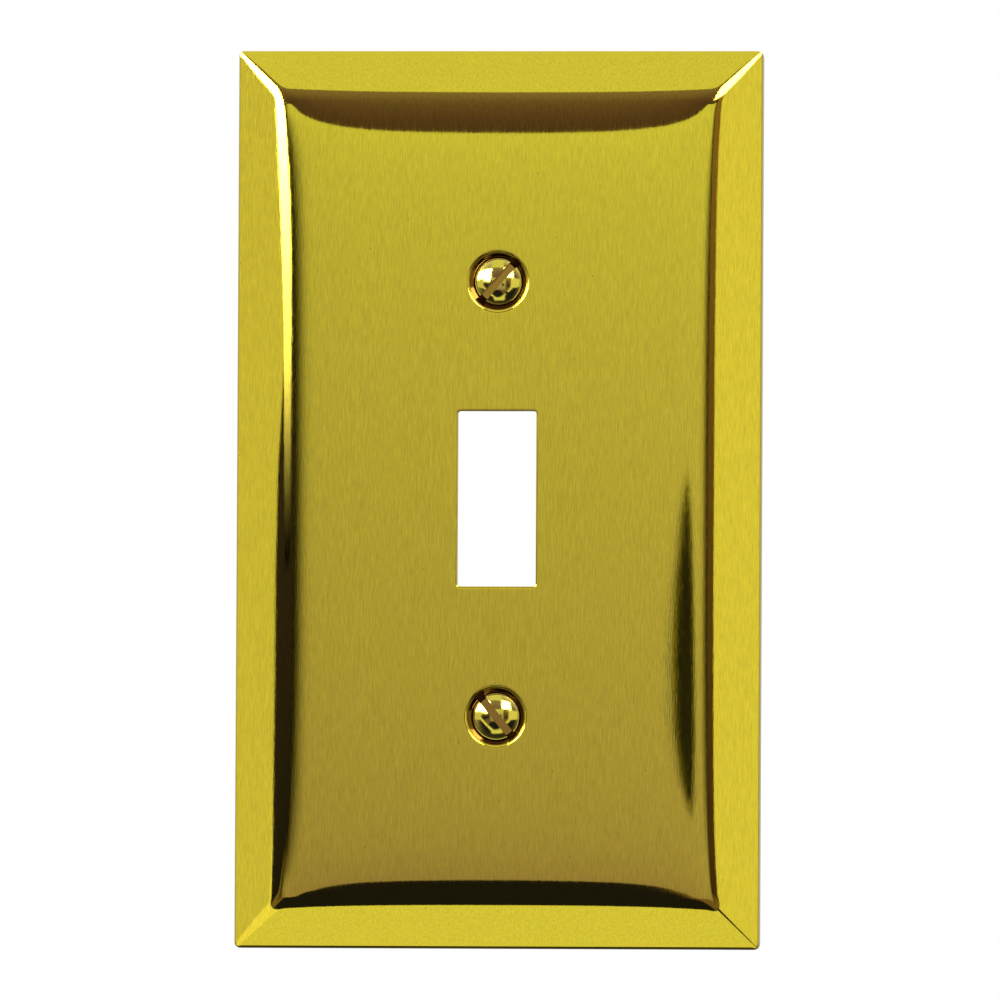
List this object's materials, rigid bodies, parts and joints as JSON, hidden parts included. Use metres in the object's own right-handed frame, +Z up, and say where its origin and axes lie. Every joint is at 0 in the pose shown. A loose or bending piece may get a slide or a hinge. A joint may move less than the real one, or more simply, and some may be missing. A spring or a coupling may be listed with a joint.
{
  "type": "toggle switch wall plate",
  "caption": "Formed brass wall plate with a sloping border, a domed panel, a toggle slot and slotted oval-head screws in dimples.",
  "frame": {"origin": "centre of the plane in which the foot of the plate meets the wall", "axes": "+Z up along the plate's height, +Y into the wall, +X to the right as seen from the front, so the front faces -Y"},
  "size_m": [0.073, 0.0169, 0.1246],
  "materials": {
    "plate_brass": "polished and lacquered",
    "screw_brass": "polished"
  },
  "bodies": {
    "plate": {"wall_plate": "plate_brass"},
    "upper_fastener": {"upper_screw": "screw_brass"},
    "lower_fastener": {"lower_screw": "screw_brass"}
  },
  "joints": [
    {"name": "upper_screw_turn", "type": "hinge", "parent": "plate", "child": "upper_fastener", "pos_m": [0, 0, 0.03016], "axis": [0, 1, 0], "continuous": true},
    {"name": "lower_screw_turn", "type": "hinge", "parent": "plate", "child": "lower_fastener", "pos_m": [0, 0, -0.03016], "axis": [0, 1, 0], "continuous": true}
  ]
}
